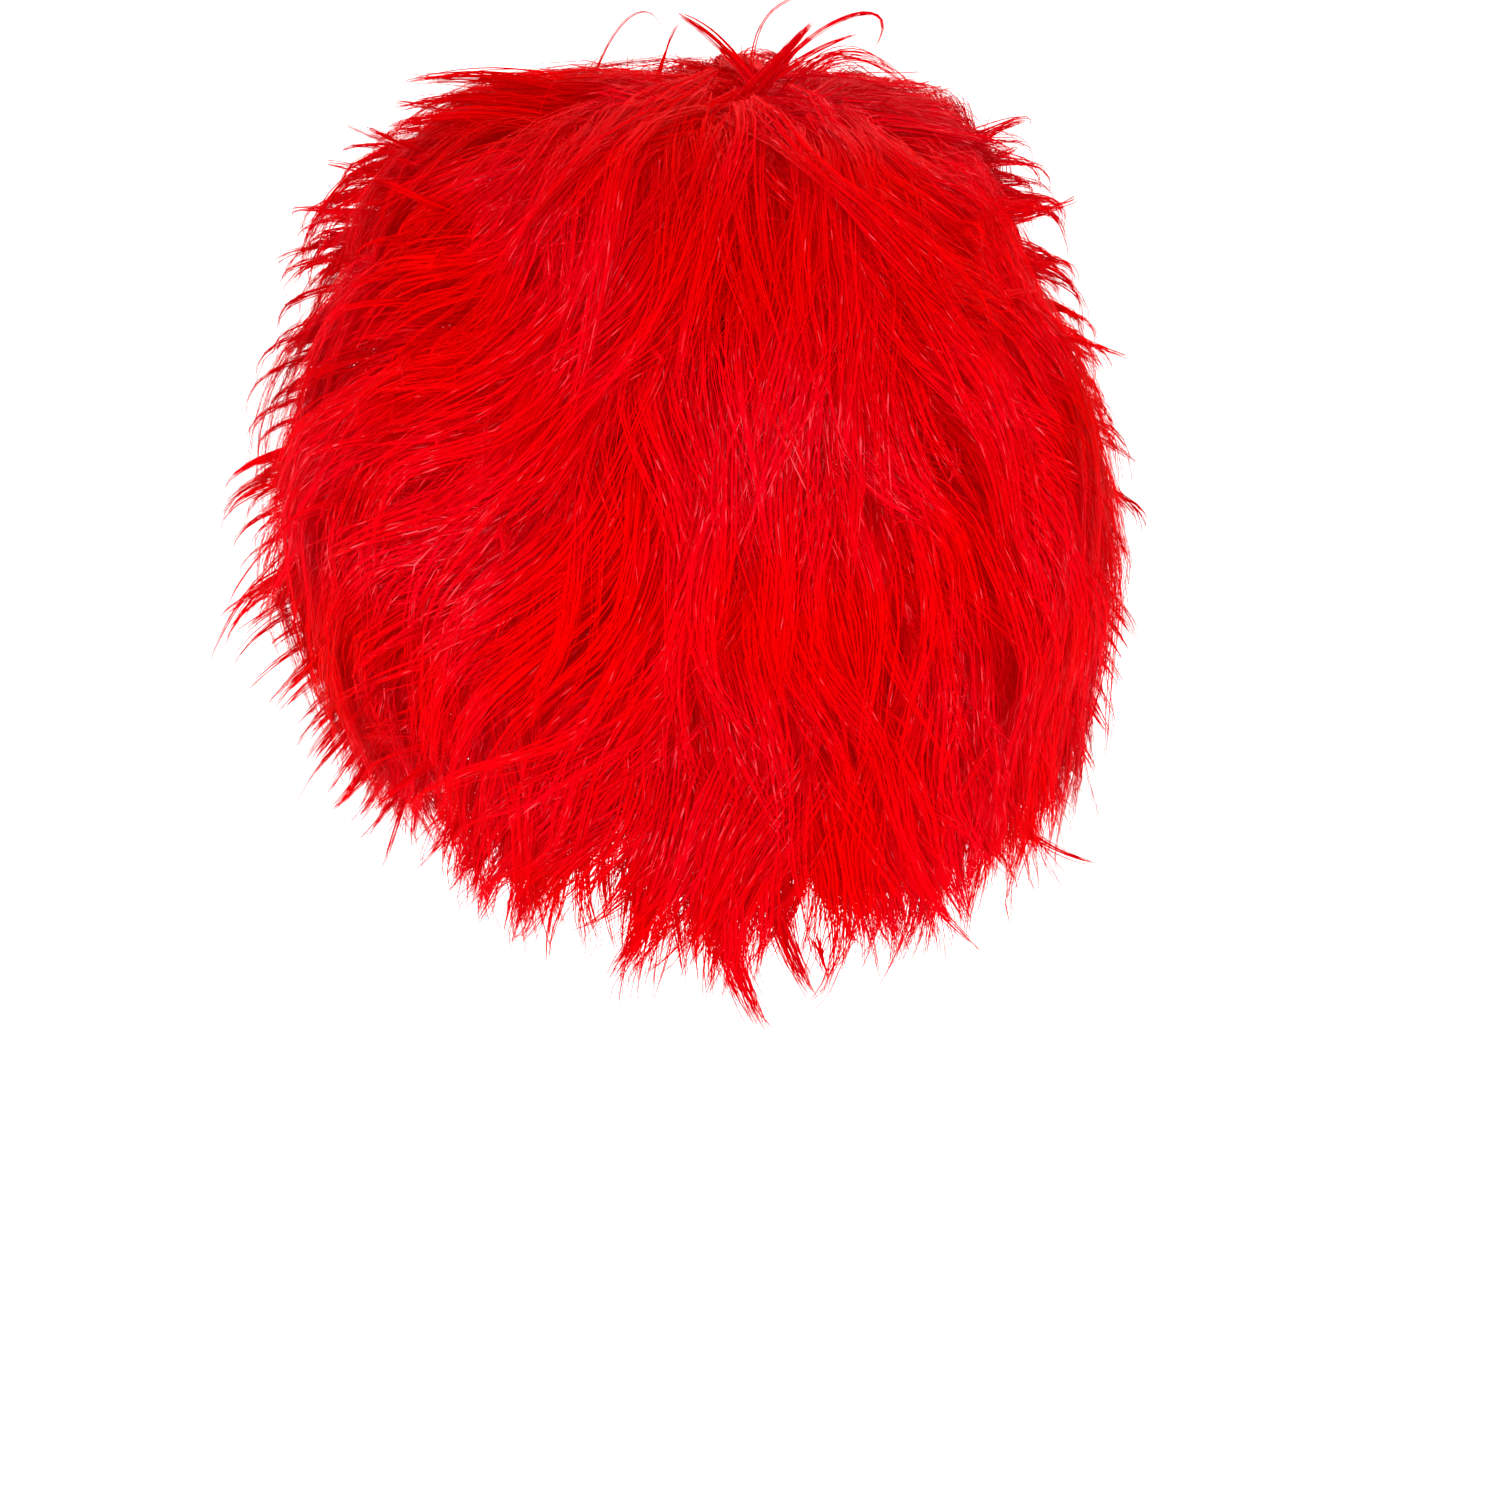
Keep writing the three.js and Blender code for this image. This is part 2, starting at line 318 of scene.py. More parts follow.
# %% Points of the cap and of the outside
def by_heading(heading, side, back, front):
    across = np.cos(heading) ** 2
    return across * side + (1 - across) * np.where(np.sin(heading) < 0, back, front)


def cap_point(share, heading, lift, tilt=0.0):
    """A point of the cap, share of the way from its crown to its rim, lifted off its inner face."""
    polar = share * np.radians(by_heading(heading, EAR_RIM_ANGLE, NAPE_RIM_ANGLE, FOREHEAD_RIM_ANGLE))
    x = np.sin(polar) * np.cos(heading)
    y = np.sin(polar) * np.sin(heading)
    z = np.cos(polar)
    y, z = y * np.cos(tilt) - z * np.sin(tilt), y * np.sin(tilt) + z * np.cos(tilt)
    unit = np.stack([x, y, z], -1)
    half_sizes = np.array([CAP_HALF_WIDTH, CAP_HALF_LENGTH, CAP_DEPTH])
    normal = unit / half_sizes
    normal /= np.linalg.norm(normal, axis=-1, keepdims=True)
    return unit * half_sizes + normal * lift - [0.0, 0.0, CAP_DEPTH]


def hang_point(section, heading):
    """A point of the hair's inside where it hangs below the rim."""
    side, back, front, side_fall, back_fall, front_fall = section
    end = CAP_HALF_LENGTH * np.where(np.sin(heading) < 0, back, front)
    reach = 1 / np.hypot(np.cos(heading) / (CAP_HALF_WIDTH * side), np.sin(heading) / end)
    rim = cap_point(1.0, heading, 0.0)[..., 2]
    fall = NAPE_HANG * by_heading(heading, side_fall, back_fall, front_fall)
    return np.stack([reach * np.cos(heading), reach * np.sin(heading), rim - fall], -1)


def puff(section, heading):
    """From the hair's inside to its outside."""
    left, right, back, front, side_rise, back_rise, front_rise = section
    side = np.where(np.cos(heading) < 0, left * PUFF_LEFT, right * PUFF_RIGHT)
    reach = by_heading(heading, side, back * PUFF_BACK, front * PUFF_FRONT)
    rise = PUFF_TOP * by_heading(heading, side_rise, back_rise, front_rise)
    rise = rise * (1 - RIGHT_SAG * np.maximum(0.0, np.cos(heading)))
    return np.stack([reach * np.cos(heading), reach * np.sin(heading), rise], -1)


# %% [markdown]
# One grid, read smoothly.
# The two surfaces are worked out once at whole levels and every few degrees. A point between them is read
# with a cubic down the levels, so that no crease shows, and along a straight line round the head. One
# more level on either side lets hair start at the middle of the whorl and hang past the last level.

# %% The grids
HEADINGS = np.linspace(-math.pi, math.pi, 181)
FIRST_LEVEL = -1


def inside_ring(level):
    share = CROWN_SHARE + LEVEL_SHARE * level
    tilt = WHORL_OFFSET / CAP_HALF_LENGTH * max(0.0, 1 - share) ** 2
    if level <= RIM_LEVEL:
        return cap_point(share, HEADINGS, CAP_WALL + SEAM_GAP, tilt)
    return hang_point(BELOW_RIM[level - RIM_LEVEL - 1], HEADINGS)


def puff_ring(level):
    if level < 0:
        return puff(THICKNESS[0] * [-1, -1, -1, -1, 1, 1, 1], HEADINGS)
    return puff(THICKNESS[level], HEADINGS)


levels = range(FIRST_LEVEL, len(THICKNESS))
INSIDE = np.array([inside_ring(level) for level in levels])
PUFFS = np.array([puff_ring(level) for level in levels])
INSIDE = np.concatenate([INSIDE, 2 * INSIDE[-1:] - INSIDE[-2:-1]])
PUFFS = np.concatenate([PUFFS, PUFFS[-1:]])


def read_grid(grid, level, heading):
    down = np.clip(level - FIRST_LEVEL, 0.0, len(grid) - 1.001)
    row = np.floor(down).astype(int)
    t = (down - row)[..., None]
    turn = (heading + math.pi) % (2 * math.pi) / (2 * math.pi) * (len(HEADINGS) - 1)
    column = np.minimum(np.floor(turn).astype(int), len(HEADINGS) - 2)
    s = (turn - column)[..., None]

    def ring(offset):
        rows = np.clip(row + offset, 0, len(grid) - 1)
        return grid[rows, column] * (1 - s) + grid[rows, column + 1] * s

    before, here, after, beyond = ring(-1), ring(0), ring(1), ring(2)
    return here + 0.5 * t * (
        after - before
        + t * (2 * before - 5 * here + 4 * after - beyond + t * (3 * (here - after) + beyond - before))
    )


def hair_point(level, heading, depth):
    """Depth 0 is on the cap or the inside of the hanging hair, and depth 1 is the outside."""
    return read_grid(INSIDE, level, heading) + read_grid(PUFFS, level, heading) * depth[..., None]


print("outside at the nape", hair_point(np.array(10.0), np.array(-math.pi / 2), np.array(1.0)).round(3))

# %% [markdown]
# The combing.
# Straight hair that only fell would look like thatch. This wig was brushed: from the whorl the hair
# sweeps out to both sides, steadies, and kicks outwards again at the nape. The table says which way it
# runs at a place on the back of the wig, in degrees from straight down, positive to the right.

# %% Which way the hair runs
COMB_HEIGHTS = np.array([-0.003, -0.047, -0.090, -0.152, -0.205, -0.257])
COMB_PLACES = np.array([-0.150, -0.104, -0.062, -0.020, 0.018, 0.060, 0.102])
# Columns: from far left to far right
COMB_ANGLES = np.array([
    [-60, -56, -35, -8, 15, 48, 40],
    [-70, -70, -38, -10, 20, 50, 45],
    [-65, -72, -25, -12, 5, 55, 35],
    [-34, -42, -38, -15, 3, 10, 15],
    [-30, -34, -34, -24, -8, 6, 24],
    [-50, -54, -46, -30, -8, 12, 35],
])


def comb_angle(x, z):
    """The combing table between its entries, in radians."""
    down = np.interp(-z, -COMB_HEIGHTS, np.arange(len(COMB_HEIGHTS)))
    row = np.minimum(down.astype(int), len(COMB_HEIGHTS) - 2)
    across = np.interp(x, COMB_PLACES, np.arange(len(COMB_PLACES)))
    column = np.minimum(across.astype(int), len(COMB_PLACES) - 2)
    s, t = across - column, down - row
    upper = COMB_ANGLES[row, column] * (1 - s) + COMB_ANGLES[row, column + 1] * s
    lower = COMB_ANGLES[row + 1, column] * (1 - s) + COMB_ANGLES[row + 1, column + 1] * s
    return np.radians(upper * (1 - t) + lower * t)


# %% [markdown]
# From the picture's plane to the head.
# A lock follows the table where the back of the wig faces the camera, and simply falls where it doesn't.
# Moving down a level and turning round the head both shift a point of the surface, and the turn per level
# is chosen so that the two together run along the combed direction.

# %% How far a lock turns as it falls
MOST_TURN = 1.1
# How squarely a place must face the camera before the table counts, and how fast it then takes over
FACING_LEAST = 0.15
FACING_GAIN = 1.4
LEAN_GAIN = 1.3
# Lengths in metres that keep the two divisions calm where a turn hardly moves a point
FLAT_TURN = 0.03
SHORT_TURN = 0.01


def unit(vectors):
    return vectors / np.maximum(np.linalg.norm(vectors, axis=-1, keepdims=True), 1e-9)


def turn_per_level(level, heading, depth, wander):
    small = 0.02
    here = hair_point(level, heading, depth)
    per_level = (hair_point(level + small, heading, depth) - here) / small
    per_turn = (hair_point(level, heading + small, depth) - here) / small
    facing = unit(np.cross(per_level, per_turn))[..., 1]
    facing = np.clip(-FACING_GAIN * facing - FACING_LEAST, 0.0, 1.0)
    angle = comb_angle(here[..., 0], here[..., 2]) + wander
    ahead = per_level[..., 0] * np.cos(angle) + per_level[..., 2] * np.sin(angle)
    aside = per_turn[..., 0] * np.cos(angle) + per_turn[..., 2] * np.sin(angle)
    stride = np.linalg.norm(per_level, axis=-1)
    leaning = np.tan(LEAN_GAIN * wander) * stride / (np.linalg.norm(per_turn, axis=-1) + SHORT_TURN)
    turn = -ahead * aside / (aside**2 + FLAT_TURN**2) * facing + leaning * (1 - facing)
    turn = np.clip(turn, -MOST_TURN, MOST_TURN)
    slanted = np.linalg.norm(per_level + per_turn * turn[..., None], axis=-1)
    return turn, stride / np.maximum(slanted, 1e-6)


# %% [markdown]
# Shingles.
# Each row starts on the cap under the row above, comes out as it falls and ends on the outside. How deep
# a lock lies at a given age, in levels below its seam, is the rule that also spaced the solids.

# %% How deep a lock lies
SHINGLE_CURVE = 1.5
# The outermost depth of a lock, for the least and for the fullest one
OUTERMOST = 0.76
OUTERMOST_MORE = 0.18


def shingle(age):
    return 1 - np.maximum(0.0, 1 - age / (ROW_SPAN + 1)) ** SHINGLE_CURVE


def lock_depth(level, age, fill):
    top = shingle(np.clip(level, 0, ROW_SPAN) + 1)
    under = shingle(age) / top
    upper = shingle(age + 1) / top
    return np.minimum(under + (upper - under) * fill, OUTERMOST + OUTERMOST_MORE * fill)


# %% [markdown]
# Locks.
# A lock is a guide line that its hair follows. It is walked down the surface in short steps of equal
# length, which turn with the comb. Neighbours drift together, as brushed hair does, so most of the wander
# comes from one slow pattern that all rows share. Locks of one row end at different heights: that is the
# layered cut, and without it the rows would show as tiers. Most locks hurry out to the surface and stay
# on it, so that they can be followed for a long way, and under them an undercoat falls straight and keeps
# the wig opaque.

# %% Walking the guides of a row
GUIDE_STEPS = 16
BACK_SHARE = 0.36
# Columns: turns round the head, turns down the rows, start, degrees
DRIFTS = [(2, 0.7, 0.4, 8.0), (5, -0.9, 2.1, 10.0), (9, 1.6, 4.4, 10.0), (17, -2.3, 1.3, 5.0)]
DRIFT_FADE = 0.5
UNDERCOAT = 0.20
UNDERCOAT_LENGTH = 0.88
UNDERCOAT_FILL = 0.3
FULLEST = 1.08
LOCK_LEAN = math.radians(8.0)
LOCK_CURL = math.radians(20.0)
LOCK_SWING = 15.0
LOW_SWING = 8.0
rng = np.random.default_rng(20)


def smooth(low, high, value):
    t = np.clip((value - low) / (high - low), 0.0, 1.0)
    return t * t * (3 - 2 * t)


def drift(heading, level):
    degrees = 0.0
    for around, down, start, size in DRIFTS:
        degrees = degrees + size * np.sin(around * heading + down * level + start)
    return np.radians(degrees) * (1 - DRIFT_FADE * smooth(4.5, 7.5, level))


def spread_round(count):
    """Headings all round the head, closer together at the back."""
    even = (np.arange(count) + rng.uniform(-0.45, 0.45, count)) / count * 2 * math.pi
    heading = even
    for _ in range(10):
        heading = even - BACK_SHARE * np.cos(heading)
    return heading


def walk_guides(row):
    count = row["locks"]
    heading = spread_round(count)
    level = row["level"] + rng.uniform(row["above"], row["below"], count)
    undercoat = rng.uniform(size=count) < UNDERCOAT * min(1.6, row["level"] / 3)
    fill = np.where(undercoat, UNDERCOAT_FILL, FULLEST) * rng.uniform(0.0, 1.0, count) ** 0.6
    haste = np.where(undercoat, 1.0, rng.uniform(1.0, 1.9, count))
    forward = np.maximum(0.0, np.sin(heading)) ** 1.5
    shortened = 1 + (row["fringe"] - 1) * forward
    life = ROW_SPAN * rng.uniform(row["shortest"], row["longest"], count) * shortened
    life = np.where(undercoat, UNDERCOAT_LENGTH, 1.0) * life
    lean = rng.normal(0.0, LOCK_LEAN, count)
    curl = rng.normal(0.0, LOCK_CURL, count)
    bends = 2 * math.pi * rng.uniform(0.5, 1.1, count)
    first_bend = rng.uniform(0.0, 2 * math.pi, count)
    points = []
    age = np.zeros(count)
    step = life / GUIDE_STEPS
    for index in range(GUIDE_STEPS + 1):
        depth = lock_depth(level, age * haste, fill)
        points.append(hair_point(level, heading, depth))
        share = index / GUIDE_STEPS
        wander = drift(heading, level) + lean + curl * (share - 0.4)
        swing = np.radians(LOCK_SWING + LOW_SWING * smooth(4.0, 7.0, level))
        wander = wander + swing * np.sin(bends * share + first_bend)
        turn, ease = turn_per_level(level, heading, depth, wander)
        turn = np.where(undercoat, 0.0, turn)
        level = level + step * ease
        heading = heading + step * ease * turn
        age = age + step
    return np.stack(points, 1)


# %% [markdown]
# Wisps and fibres.
# A lock is not a brush of even hairs. It parts into wisps a few millimetres thick, each with its own
# length, bend and wave, and the fibres of a wisp run out together to one fine point. The same function
# makes both: it grows lines beside other lines, so many metres to the side and outwards from the head.

# %% Growing lines beside lines
HEAD_MIDDLE = np.array([0.0, 0.0, -0.10])
WHORL = hair_point(np.array(-CROWN_SHARE / LEVEL_SHARE), np.array(0.0), np.array(1.0))


def directions(lines):
    """Along each line, to its side and out from the head."""
    tangent = unit(np.gradient(lines, axis=1))
    side = unit(np.cross(tangent, unit(lines - HEAD_MIDDLE)))
    return tangent, side, np.cross(side, tangent)


def beside(lines, sideways, outwards):
    """The lines, moved by so much at each of their points."""
    tangent, side, out = directions(lines)
    return lines + side * sideways[..., None] + out * outwards[..., None]


def stretch_of(lines, owner, start, end, steps, curve=1.0):
    """New lines of so many steps, each along its owner from share start to share end."""
    even = np.linspace(0.0, 1.0, steps + 1) ** curve
    place = (start[:, None] + (end - start)[:, None] * even) * (lines.shape[1] - 1)
    index = np.clip(place.astype(int), 0, lines.shape[1] - 2)
    t = (place - index)[..., None]
    owner = owner[:, None]
    return lines[owner, index] * (1 - t) + lines[owner, index + 1] * t


def column(values):
    return values[:, None]


# %% Wisps of a row
WISP_STEPS = 14
# How far wisps stray, in metres: sideways at the tip, in a wave, off the lock, with their lock, and as a bow
WISP_STRAY = 0.0070
WISP_WAVE = 0.0011
WISP_RAISE = 0.0016
LOCK_RAISE = 0.0035
WISP_BOW = 0.0035
WILD_SHARE = 0.12
WILD_REACH = 0.010
# How far the ends fall high up and kick out at the nape
END_DROOP = 0.014
END_KICK = 0.010


def part_wisps(guides, row):
    count = row["wisps"]
    lock = np.sort(rng.integers(0, len(guides), count))
    wide = (row["width"] * rng.uniform(0.7, 1.4, len(guides)))[lock]
    reach = 1 - row["uneven"] * rng.uniform(0.0, 1.0, count) ** 1.3
    lines = stretch_of(guides, lock, rng.uniform(0.0, 0.08, count), reach, WISP_STEPS)
    t = np.linspace(0.0, 1.0, WISP_STEPS + 1)
    near_whorl = np.clip(np.linalg.norm((lines - WHORL)[..., :2], axis=-1) / 0.05, 0.15, 1.0)
    narrowing = 1 - column(rng.uniform(0.0, 0.6, count)) * smooth(0.45, 1.0, t)
    waves = column(rng.uniform(0.6, 1.5, count))
    wave = np.sin(2 * math.pi * (t * waves + column(rng.uniform(0.0, 1.0, count))))
    sideways = column(rng.uniform(-0.5, 0.5, count) * wide) * narrowing * near_whorl
    sideways += column(rng.normal(0.0, WISP_STRAY, count)) * smooth(0.35, 1.0, t) ** 1.3
    sideways += column(rng.normal(0.0, WISP_WAVE, count)) * wave * near_whorl
    outwards = column(rng.normal(0.0, WISP_RAISE, count)) * narrowing * near_whorl
    outwards += column(rng.normal(0.0, LOCK_RAISE, len(guides))[lock]) * near_whorl
    outwards += column(rng.uniform(0.0, WISP_BOW, count)) * np.sin(math.pi * t)
    wild = np.where(rng.uniform(size=count) < WILD_SHARE, rng.uniform(0.3, 1.0, count), 0.0)
    outwards += column(WILD_REACH * wild) * smooth(0.35, 1.0, t)
    lines = beside(lines, sideways, outwards)
    lines += rng.normal(0.0, row["scatter"], (count, 1, 3)) * column(1 - smooth(0.0, 0.5, t))

    end = lines[:, -1]
    upper = smooth(-0.20, -0.12, end[:, 2]) * smooth(0.0, 0.05, np.abs(end[:, 0]))
    lower = 1 - smooth(-0.235, -0.165, end[:, 2])
    droop = upper * (rng.uniform(0.0, END_DROOP, count) + END_DROOP * wild)
    kick = lower * rng.uniform(0.0, 1.0, count) ** 1.5 * END_KICK
    parted = column(0.8 * np.tanh((end[:, 0] - 0.02) / 0.05)) * [1.0, 0.0, 0.0]
    away = unit(end * [1.0, 1.0, 0.0]) + parted
    late = column(smooth(0.5, 1.0, t) ** 1.4)[None]
    return lines + late * (away * column(kick) - np.array([0.0, 0.0, 1.0]) * column(droop))[:, None]


# %% Fibres of a row
FIBRE_STEPS = 6
# The first steps of a fibre are the longer ones, by this power
STEP_CURVE = 0.85
# How far fibres stray, in metres: across the wisp, as a bow, off the wisp, and at tame and stray tips
FIBRE_SPREAD = 0.0020
FIBRE_BOW = 0.0016
FIBRE_RAISE = 0.0010
TAME_TIP = 0.0004
STRAY_TIP = 0.0055
STRAY_SHARE = 0.06


def part_fibres(wisps, row):
    """Their lines, how far along the wisp each point is, and a tone for each fibre."""
    count = row["fibres"]
    share = rng.uniform(0.4, 1.6, len(wisps))
    wisp = np.sort(rng.choice(len(wisps), count, p=share / share.sum()))
    start = np.where(rng.uniform(size=count) < row["covered"], rng.uniform(0.1, 0.42, count), 0.0)
    end = 1 - (1.05 - row["pointed"]) * rng.uniform(0.0, 1.0, count) ** 1.3
    lines = stretch_of(wisps, wisp, start, end, FIBRE_STEPS, STEP_CURVE)
    t = np.linspace(0.0, 1.0, FIBRE_STEPS + 1) ** STEP_CURVE
    near_whorl = np.clip(np.linalg.norm((lines - WHORL)[..., :2], axis=-1) / 0.04, 0.2, 1.0)
    gathered = 1 - row["pointed"] * smooth(0.3, 1.0, t)
    loose = np.where(rng.uniform(size=count) < STRAY_SHARE, STRAY_TIP, TAME_TIP)
    sideways = column(rng.normal(0.0, FIBRE_SPREAD, count)) * gathered * near_whorl
    sideways += column(rng.normal(0.0, FIBRE_BOW, count)) * np.sin(math.pi * t) * near_whorl
    sideways += column(rng.normal(0.0, 1.0, count) * loose) * t**2
    outwards = column(rng.normal(0.0, FIBRE_RAISE, count)) * gathered * near_whorl
    outwards += column(np.abs(rng.normal(0.0, 1.0, count)) * loose) * t**2
    along = column(start) + column(end - start) * t
    tone = 0.6 * rng.uniform(0.0, 1.0, len(wisps))[wisp] + 0.4 * rng.uniform(0.0, 1.0, count)
    return beside(lines, sideways, outwards), along, tone


# %% [markdown]
# From lines to a mesh.
# A fibre is a flat strip that tapers to a point, and each is turned a little its own way about its
# length, so that each catches the light at its own place. Strips cost a third of tubes, which buys three
# times the hair. All the fibres of a row go into one mesh through flat arrays. Each keeps a cell of its
# own in the texture map, and carries two numbers for the finish: how far along it a point is, and its own
# tone.

# %% Fibres as one mesh
CELLS_ACROSS = 24


def set_mesh(name, verts, loops, sizes, loop_uv, numbers):
    """A mesh from flat arrays: corners of all faces, corners a face, texture places, and named numbers."""
    mesh = bpy.data.meshes.new(name)
    mesh.vertices.add(len(verts))
    mesh.vertices.foreach_set("co", verts.astype(np.float32).ravel())
    mesh.loops.add(len(loops))
    mesh.loops.foreach_set("vertex_index", loops.astype(np.int32))
    mesh.polygons.add(len(sizes))
    starts = np.concatenate([[0], np.cumsum(sizes)[:-1]])
    mesh.polygons.foreach_set("loop_start", starts.astype(np.int32))
    mesh.update(calc_edges=True)
    mesh.shade_smooth()
    atlas = mesh.uv_layers.new(name="OFBake")
    atlas.data.foreach_set("uv", loop_uv.astype(np.float32).ravel())
    for label, values in numbers.items():
        stored = mesh.attributes.new(label, "FLOAT", "POINT")
        stored.data.foreach_set("value", values.astype(np.float32).ravel())
    made = bpy.data.objects.new(name, mesh)
    bpy.context.scene.collection.objects.link(made)
    print(name, int(np.sum(np.asarray(sizes) - 2)), "triangles")
    return made


def fibre_mesh(name, lines, width, tone, along, twist):
    """Lines, width and along are given at each point of each fibre, tone once a fibre, twist in degrees."""
    count, rings = lines.shape[0], lines.shape[1] - 1
    tangent, side, out = directions(lines)
    turned = column(rng.normal(0.0, math.radians(twist), count))[..., None]
    across = side * np.cos(turned) + out * np.sin(turned)
    half = across[:, :-1] * width[:, :-1, None] / 2
    edges = np.stack([lines[:, :-1] - half, lines[:, :-1] + half], 2).reshape(count, -1, 3)
    verts = np.concatenate([edges, lines[:, -1:]], 1)

    ring = 2 * np.arange(rings - 1)[:, None]
    quads = (ring + [0, 1, 3, 2]).ravel()
    tip = [2 * rings - 2, 2 * rings - 1, 2 * rings]
    strip = np.concatenate([quads, tip])
    sizes = np.concatenate([np.full(rings - 1, 4), [3]])
    loops = strip + np.arange(count)[:, None] * (2 * rings + 1)

    strip_u = np.append(np.repeat(np.arange(rings), 2), rings)[strip] / rings
    strip_v = np.append(np.tile([0.0, 1.0], rings), 0.5)[strip]
    cell_rows = math.ceil(count / CELLS_ACROSS)
    cell = column(np.arange(count))
    u = (cell % CELLS_ACROSS + 0.03 + 0.94 * strip_u) / CELLS_ACROSS
    v = (cell // CELLS_ACROSS + 0.15 + 0.7 * strip_v) / cell_rows
    numbers = {
        "along": np.concatenate([np.repeat(along[:, :-1], 2, axis=1), along[:, -1:]], 1),
        "tone": np.repeat(tone, 2 * rings + 1),
    }
    verts = verts.reshape(-1, 3)
    return set_mesh(name, verts, loops.ravel(), np.tile(sizes, count), np.stack([u, v], -1), numbers)


# %% [markdown]
# The fibre's finish.
# This is glossy synthetic hair dyed one hard red. What varies is small but shows everywhere: each wisp
# and each fibre has its own tone, roots are deeper, and here and there a stretch of a fibre carries a
# painted highlight: a little pink mixed into its colour, placed by noise and not by the lamps.

# %% Hair finish
def hair_finish():
    hair = Finish("synthetic_hair")
    tone = hair.attribute("tone")
    along = hair.attribute("along")
    fibre_place = hair.node("ShaderNodeCombineXYZ", {}, {"X": tone * 900.0, "Y": along * 13.0, "Z": 0.0})
    # Painted highlight: short pink stretches of the fibres, placed by noise along each fibre, not by the
    # light.
    painted_glint = hair.node("ShaderNodeTexNoise", {}, {"Vector": fibre_place, "Scale": 1.0, "Detail": 1.0})
    patch = hair.noise(16.0, 2.0)
    painted_glint = ((painted_glint - 0.66) * 7.0 + (patch - 0.5) * 3.0).clamped()
    streak = hair.noise(420.0, 3.0)
    warm = hair.mix(tone, colour(0.72, 0.0, 0.0), colour(0.82, 0.0, 0.0))
    cool = hair.mix(tone, colour(0.69, 0.0, 0.001), colour(0.81, 0.0, 0.011))
    body = hair.mix(((patch - 0.5) * 3.5 + streak).clamped(), warm, cool)
    shade = ((0.52 - hair.noise(11.0, 1.0)) * 3.0).clamped()
    body = hair.mix(shade * 0.35, body, colour(0.54, 0.0, 0.001))
    body = hair.mix((0.75 - along).clamped() * 0.15, body, colour(0.5, 0.0, 0.0))
    body = hair.mix(painted_glint * 0.8, body, colour(1.0, 0.085, 0.11))
    hair.dress(
        Base_Color=body,
        Roughness=(0.34 + 0.16 * streak + 0.10 * tone).clamped(),
        Metallic=0.15,
        Specular_IOR_Level=0.01,
        Specular_Tint=colour(1.0, 0.08, 0.16),
        # The hair glows faintly in its own colour: a painted fill light that lifts the shade between the
        # fibres.
        Emission_Color=body,
        Emission_Strength=0.15,
        Normal=hair.bump(streak, 0.0001, 0.25),
    )
    return hair.material


HAIR = hair_finish()

# %% [markdown]
# The rows.
# From the crown down, each row is combed by the same functions. Above and below say how far its seams
# wander from its level, so that no bare line shows. Shortest and longest are lock lengths as shares of a
# full row, uneven is how much shorter a wisp may be than its lock, and fringe shortens the row over the
# forehead. Scatter loosens the roots, width is that of a lock, covered is the share of fibres whose roots
# lie under other hair and are left out, and pointed is how far the fibres of a wisp close up at its tip.
# No hair grows through a head, so what would dip under the cap is laid on it instead.

# %% Comb all the rows
FIBRE_WIDTH = 0.00050
FIBRE_TWIST = 16.0
LOCK_COLUMNS = (
    "node", "level", "above", "below", "shortest", "longest", "uneven", "fringe",
    "scatter", "width", "covered", "pointed", "locks", "wisps", "fibres",
)
LOCK_ROWS = [
    ("crown_locks", 0, -0.45, 0.45, 0.80, 1.12, 0.35, 1.0, 0.006, 0.022, 0.1, 0.60, 130, 950, 11000),
    ("top_locks", 1, -0.5, 0.5, 0.82, 1.12, 0.35, 1.0, 0.003, 0.022, 0.7, 0.60, 140, 850, 9000),
    ("upper_locks", 2, -0.5, 0.5, 0.84, 1.12, 0.35, 1.0, 0.002, 0.022, 0.8, 0.60, 130, 750, 7800),
    ("middle_locks", 3, -0.5, 0.5, 0.84, 1.12, 0.32, 1.0, 0.002, 0.022, 0.8, 0.60, 130, 800, 8000),
    ("ear_locks", 4, -0.5, 0.5, 0.88, 1.16, 0.28, 0.9, 0.002, 0.026, 0.8, 0.62, 140, 900, 9500),
    ("lower_locks", 5, -0.5, 0.4, 0.90, 1.14, 0.26, 0.78, 0.003, 0.032, 0.8, 0.70, 190, 1300, 14000),
    ("nape_locks", 6, -0.5, 0.1, 0.94, 1.14, 0.24, 0.6, 0.003, 0.036, 0.7, 0.80, 260, 1700, 17900),
]


def wear(piece, node, finish):
    """The piece stands in for a solid of the frame."""
    piece.data.materials.append(finish)
    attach(piece, "root")
    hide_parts(node)


def taper(share):
    """How much of its width a fibre still has at a share of its length."""
    return 1 - 0.7 * share**2


def clear_of_cap(lines):
    """The lines, with what would run through the cap laid on its outside instead."""
    half_sizes = np.array([CAP_HALF_WIDTH, CAP_HALF_LENGTH, CAP_DEPTH]) + CAP_WALL + SEAM_GAP
    place = (lines + [0.0, 0.0, CAP_DEPTH]) / half_sizes
    reach = np.linalg.norm(place, axis=-1)
    heading = np.arctan2(place[..., 1], place[..., 0])
    rim = np.radians(by_heading(heading, EAR_RIM_ANGLE, NAPE_RIM_ANGLE, FOREHEAD_RIM_ANGLE))
    inside = (np.arccos(place[..., 2] / reach) < rim) & (reach < 1)
    place = place / np.where(inside, reach, 1.0)[..., None]
    print("points laid on the cap", int(inside.sum()))
    return place * half_sizes - [0.0, 0.0, CAP_DEPTH]


def comb_row(row):
    lines, along, tone = part_fibres(part_wisps(walk_guides(row), row), row)
    lines = clear_of_cap(lines)
    count, points = lines.shape[:2]
    width = column(FIBRE_WIDTH * rng.uniform(0.7, 1.3, count)) * taper(np.linspace(0.0, 1.0, points))
    piece = fibre_mesh(row["node"] + "_fibres", lines, width, tone, along, FIBRE_TWIST)
    wear(piece, row["node"], HAIR)


for values in LOCK_ROWS:
    comb_row(dict(zip(LOCK_COLUMNS, values)))

